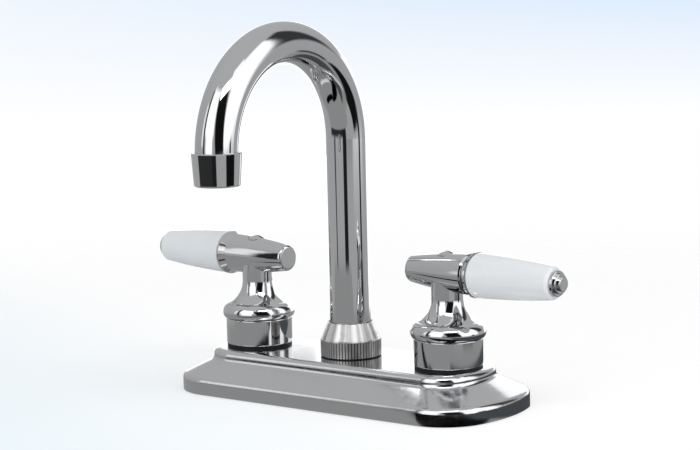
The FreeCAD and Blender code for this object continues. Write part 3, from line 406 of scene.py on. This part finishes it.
# Opaque white with a slight sheen, and flow marks 3 mm long from the mould's gate.
flow = add(tree, "TexNoise", {"Vector": place, "Scale": per_metre(3), "Detail": 2.0,
                              "Distortion": 1.0})
tone = add(tree, "Mix", {"data_type": "RGBA", 0: flow.outputs["Fac"], 6: linear("#dfded9"),
                         7: linear("#d3d2cc")})
surface(tree, add(tree, "BsdfPrincipled", {"Base Color": tone.outputs[2], "Roughness": 0.38,
                                           "IOR": 1.48}))
dress(acetal, "aerator_insert", "glide_ring")
woven, tree, place = blank("woven_stainless_steel")
# Wires of 0.2 mm at 0.8 mm, over and under each other: bright crowns with dark gaps between.
spot = add(tree, "SeparateXYZ", {0: place})
weave = []
for axis in ("X", "Y"):
    phase = add(tree, "Math", {"operation": "MULTIPLY", 0: spot.outputs[axis],
                               1: 2 * math.pi * per_metre(0.8)})
    weave.append(add(tree, "Math", {"operation": "SINE", 0: phase.outputs[0]}))
both = add(tree, "Math", {"operation": "MAXIMUM", 0: weave[0].outputs[0],
                          1: weave[1].outputs[0]})
crown = add(tree, "Bump", {"Distance": 0.0001, "Height": both.outputs[0]})
tone = add(tree, "Mix", {"data_type": "RGBA", 0: both.outputs[0], 6: linear("#2c2d2e"),
                         7: linear("#b1b2b3")})
surface(tree, add(tree, "BsdfPrincipled", {"Base Color": tone.outputs[2], "Metallic": 1.0,
                                           "Roughness": 0.3, "Normal": crown.outputs["Normal"]}))
dress(woven, "aerator_screen")


# Studio floor. A pale sheet on a table that fades out round the tap, a little blue in the
# front left. The chrome sees the table's grey, with a near black painted shadow close in front of
# the plate.
FLOOR = -0.0003                                # just under the gasket, so that nothing flickers
CIRCLES, SPOKES = (0.06, 0.12, 0.2, 0.3, 0.45, 0.65, 0.9), 96
points = [(0, 0, FLOOR)] + [(r * math.cos(2 * math.pi * i / SPOKES),
                             r * math.sin(2 * math.pi * i / SPOKES), FLOOR)
                            for r in CIRCLES for i in range(SPOKES)]
faces = []
for i in range(SPOKES):
    j = (i + 1) % SPOKES
    faces.append((0, 1 + i, 1 + j))
    for k in range(len(CIRCLES) - 1):
        a, b = 1 + k * SPOKES, 1 + (k + 1) * SPOKES
        faces.append((a + i, b + i, b + j, a + j))
floor = placed("floor", points, faces)

paper, tree, place = blank("matte_paper_sheet")
# White without gloss. The camera takes half of it as light of its own, so that the tap's
# shadow stays pale and the sheet goes over into the backdrop between 0.22 and 0.62 m out.
from_middle = add(tree, "VectorMath", {"operation": "LENGTH", 0: place})
edge = add(tree, "MapRange", {"interpolation_type": "SMOOTHSTEP",
                              "Value": from_middle.outputs["Value"],
                              "From Min": 0.22, "From Max": 0.62})
front_left = add(tree, "VectorMath", {"operation": "DOT_PRODUCT", 0: place,
                                      1: (-0.464, -0.886, 0)})
blueing = add(tree, "MapRange", {"Value": front_left.outputs["Value"], "From Min": -0.01,
                                 "From Max": 0.19})
sheet = add(tree, "Mix", {"data_type": "RGBA", 0: blueing.outputs[0], 6: linear("#fefefe"),
                          7: linear("#e8f3f8")})
rays = add(tree, "LightPath", {})
half = add(tree, "Math", {"operation": "MULTIPLY", 0: rays.outputs["Is Camera Ray"], 1: 0.5})
own_light = add(tree, "Emission", {"Color": sheet.outputs[2], "Strength": 1.05})
lit_by_room = add(tree, "BsdfDiffuse", {"Color": sheet.outputs[2]})
pale = add(tree, "MixShader", {0: half.outputs[0], 1: lit_by_room.outputs[0],
                               2: own_light.outputs[0]})
clear = add(tree, "BsdfTransparent", {})
faded = add(tree, "MixShader", {0: edge.outputs[0], 1: pale.outputs[0], 2: clear.outputs[0]})

# For the chrome the table ends 0.38 m out within 50 degrees of this bearing, and 0.22 m out
# past 60 degrees from it.
LONG_SIDE = -92
spot = add(tree, "SeparateXYZ", {0: place})
way = add(tree, "Math", {"operation": "ARCTAN2", 0: spot.outputs["Y"], 1: spot.outputs["X"]})
from_long = add(tree, "Math", {"operation": "ADD", 0: way.outputs[0], 1: math.radians(-LONG_SIDE)})
off_long = add(tree, "Math", {"operation": "ABSOLUTE", 0: from_long.outputs[0]})
rim = add(tree, "MapRange", {"Value": off_long.outputs[0], "From Min": math.radians(50),
                             "From Max": math.radians(60), "To Min": 0.38, "To Max": 0.22})
past_rim = add(tree, "Math", {"operation": "SUBTRACT", 0: from_middle.outputs["Value"],
                              1: rim.outputs[0]})
off_table = add(tree, "MapRange", {"interpolation_type": "SMOOTHSTEP",
                                   "Value": past_rim.outputs[0],
                                   "From Min": -0.03, "From Max": 0.03})
toward_camera = add(tree, "VectorMath", {"operation": "DOT_PRODUCT", 0: place,
                                         1: (0.707, -0.707, 0)})
toward_end = add(tree, "VectorMath", {"operation": "DOT_PRODUCT", 0: place,
                                      1: (0.906, 0.423, 0)})
zone = {}                                      # each part of the floor goes from start to full
for part, source, start, full in (
        ("past_nose", toward_camera.outputs["Value"], 0.0655, 0.0685),
        ("near_plate", from_middle.outputs["Value"], 0.107, 0.101),
        ("below_step", spot.outputs["Y"], -0.070, -0.077),
        ("before_nuts", spot.outputs["Y"], -0.099, -0.091),
        ("right_part", spot.outputs["X"], -0.120, -0.090),
        ("not_far_right", spot.outputs["X"], 0.020, 0.005),
        ("on_table", from_middle.outputs["Value"], 0.170, 0.150),
        ("right_end", toward_end.outputs["Value"], 0.071, 0.077)):
    zone[part] = add(tree, "MapRange", {"interpolation_type": "SMOOTHSTEP", "Value": source,
                                        "From Min": start, "From Max": full}).outputs[0]


def overlap(*parts):
    """How far a point lies inside all of these parts of the floor."""
    total = zone[parts[0]]
    for part in parts[1:]:
        total = add(tree, "Math", {"operation": "MULTIPLY", 0: total, 1: zone[part]}).outputs[0]
    return total


# Painted shadow: near black patches of the floor close in front of the plate, where its shadow
# lies, seen by the chrome alone.
painted_shadow = add(tree, "Math", {"operation": "MAXIMUM", 0: overlap("past_nose", "near_plate"),
                          1: overlap("below_step", "before_nuts", "right_part",
                                     "not_far_right", "on_table")})
table_with_painted_shadow = add(tree, "Mix", {"data_type": "RGBA", 0: painted_shadow.outputs[0], 6: linear("#acacac"),
                              7: linear("#060607")})
table = add(tree, "Mix", {"data_type": "RGBA", 0: overlap("right_end", "on_table"),
                          6: table_with_painted_shadow.outputs[2], 7: linear("#53585c")})
seen = add(tree, "Emission", {"Color": table.outputs[2], "Strength": 1.0})
mirrored = add(tree, "MixShader", {0: off_table.outputs[0], 1: seen.outputs[0],
                                   2: clear.outputs[0]})
surface(tree, add(tree, "MixShader", {0: rays.outputs["Is Glossy Ray"], 1: faded.outputs[0],
                                      2: mirrored.outputs[0]}))
floor.data.materials.append(paper)


# Studio card. A curved white card stands behind the plate, out of the picture. Only the
# chrome sees it: it whitens the top of the plate and its right end.
CARD_RADIUS, COLUMNS = 0.3, 17
points, faces = [], []
for start, stop, top in ((78, 131, 0.2), (131, 152, 0.075)):    # two bearings, and the height
    for i in range(COLUMNS):
        angle = math.radians(start + (stop - start) * i / (COLUMNS - 1))
        for level in (FLOOR, top):
            points.append((CARD_RADIUS * math.cos(angle), CARD_RADIUS * math.sin(angle), level))
        if i:
            newest = len(points)
            faces.append((newest - 4, newest - 2, newest - 1, newest - 3))
card = placed("studio_card", points, faces)
lit, tree, _ = blank("lit_white_card")
# An even bright white, seen in the chrome alone.
glow = add(tree, "Emission", {"Color": linear("#fdfdfe"), "Strength": 1.7})
clear = add(tree, "BsdfTransparent", {})
rays = add(tree, "LightPath", {})
surface(tree, add(tree, "MixShader", {0: rays.outputs["Is Glossy Ray"], 1: clear.outputs[0],
                                      2: glow.outputs[0]}))
card.data.materials.append(lit)


# Studio light. Soft light comes from all round, with the light panels, and the dark between
# them, that the chrome mirrors. The camera sees white, which goes a pale blue upwards.
world = bpy.data.worlds.new("studio")
bpy.context.scene.world = world
world.use_nodes = True
tree = world.node_tree
tree.nodes.clear()
rays = add(tree, "LightPath", {})
heading = add(tree, "TexCoord", {}).outputs["Generated"]
parts = add(tree, "SeparateXYZ", {0: heading})
bearing = add(tree, "Math", {"operation": "ARCTAN2", 0: parts.outputs["Y"], 1: parts.outputs["X"]})
rise = add(tree, "Math", {"operation": "ARCSINE", 0: parts.outputs["Z"]})
room = add(tree, "MapRange", {"interpolation_type": "SMOOTHSTEP", "Value": rise.outputs[0],
                              "From Min": math.radians(-14), "From Max": math.radians(70),
                              "To Min": 0.56, "To Max": 0.68})
brightness = room.outputs[0]
# In degrees: bearing, how far that leans for each degree up, half the width, lowest and
# highest point, softness of the edge; then brightness. Bearing 0 is +X, and -53 the camera.
PANELS = (
    (112, 0, 30, -16, 10, 5, 1.75),      # far part of the white card
    (-94, 0, 24, 11, 50, 7, 1.85),       # left light panel
    (-92, 0, 18, -3, 14, 6, 1.85),       # its lower part, between two stands
    (-122, 0, 4, -6, 46, 4, 0.03),       # dark edge left of it
    (-132, 0, 5, 2, 32, 5, 1.3),         # narrow card past that edge
    (12, 0, 31, -4, 54, 9, 1.85),        # right light panel
    (-14, 0, 16, 51, 60, 5, 1.75),       # light strip over the corner of the dark room
    (-37, -0.31, 22, -4, 44, 6, 0.01),   # dark room round the camera
    (57, 0, 12, 8, 52, 9, 0.06),         # gap right of the right light panel
    (-107, 0, 36, -24, -9.5, 3, 0.04),   # dark floor past the table, to the left
    (-63, 0, 10, -24, -2.5, 3, 0.02),    # foot of the left panel's right stand
    (-120, 0, 3, -12, -2.5, 2, 0.05),    # foot of its left stand
    (24, 0, 5, -14, -2, 2, 0.02),        # foot of the right panel's stand
    (15, 0, 22, -33, -9.5, 4, 0.01),     # dark floor past the table, to the right
    (51, 0, 12, -45, -27, 5, 0.02),      # dark floor by the table's edge, to the right
)
for at, lean, half_width, low, high, softness, shine in PANELS:
    centre = add(tree, "Math", {"operation": "MULTIPLY_ADD", 0: rise.outputs[0], 1: lean,
                                2: math.radians(at)})
    aside = add(tree, "Math", {"operation": "SUBTRACT", 0: bearing.outputs[0],
                               1: centre.outputs[0]})
    wrapped = add(tree, "Math", {"operation": "WRAP", 0: aside.outputs[0], 1: math.pi,
                                 2: -math.pi})
    height = add(tree, "Math", {"operation": "SUBTRACT", 0: rise.outputs[0],
                                1: math.radians((low + high) / 2)})
    inside = []
    for offset, reach in ((wrapped, half_width), (height, (high - low) / 2)):
        off = add(tree, "Math", {"operation": "ABSOLUTE", 0: offset.outputs[0]})
        inside.append(add(tree, "MapRange", {"interpolation_type": "SMOOTHSTEP",
                                             "Value": off.outputs[0],
                                             "From Min": math.radians(reach - softness / 2),
                                             "From Max": math.radians(reach + softness / 2),
                                             "To Min": 1.0, "To Max": 0.0}))
    within = add(tree, "Math", {"operation": "MULTIPLY", 0: inside[0].outputs[0],
                                1: inside[1].outputs[0]})
    brightness = add(tree, "Mix", {"data_type": "FLOAT", 0: within.outputs[0], 2: brightness,
                                   3: shine}).outputs[0]
mirror = add(tree, "Background", {"Color": linear("#fdfdfe"), "Strength": brightness})

# The backdrop turns blue above the horizon, and most of all straight behind the tap.
BEHIND = math.radians(100)
over_horizon = add(tree, "MapRange", {"Value": rise.outputs[0], "From Min": math.radians(-4.6),
                                      "From Max": math.radians(-1.2)})
toward_back = add(tree, "VectorMath", {"operation": "DOT_PRODUCT", 0: heading,
                                       1: (math.cos(BEHIND), math.sin(BEHIND), 0)})
deeper = add(tree, "MapRange", {"Value": toward_back.outputs["Value"], "From Min": 0.79,
                                "From Max": 0.96, "To Min": 0.35, "To Max": 1.0})
tint = add(tree, "Math", {"operation": "MULTIPLY", 0: over_horizon.outputs[0],
                          1: deeper.outputs[0]})
blue = add(tree, "Mix", {"data_type": "RGBA", 0: tint.outputs[0], 6: linear("#ffffff"),
                         7: linear("#d8e9fd")})
backdrop = add(tree, "Background", {"Color": blue.outputs[2], "Strength": 1.0})
studio = add(tree, "MixShader", {0: rays.outputs["Is Camera Ray"], 1: mirror.outputs[0],
                                 2: backdrop.outputs[0]})
add(tree, "OutputWorld", {"Surface": studio.outputs[0]})

# One lamp stands over the camera and points at the plate's middle. The chrome shows it as a
# bright strip along the arch.
lamp = bpy.data.lights.new("strip_light", "AREA")
lamp.shape, lamp.size, lamp.size_y, lamp.energy = "RECTANGLE", 0.6, 0.2, 2.9
strip_light = bpy.data.objects.new("strip_light", lamp)
stand = Vector((0.5, -0.5, 0.84))
strip_light.matrix_world = (Matrix.Translation(stand)
                            @ stand.to_track_quat("Z", "Y").to_matrix().to_4x4())
bpy.context.scene.collection.objects.link(strip_light)

bpy.context.scene.view_settings.view_transform = "Standard"
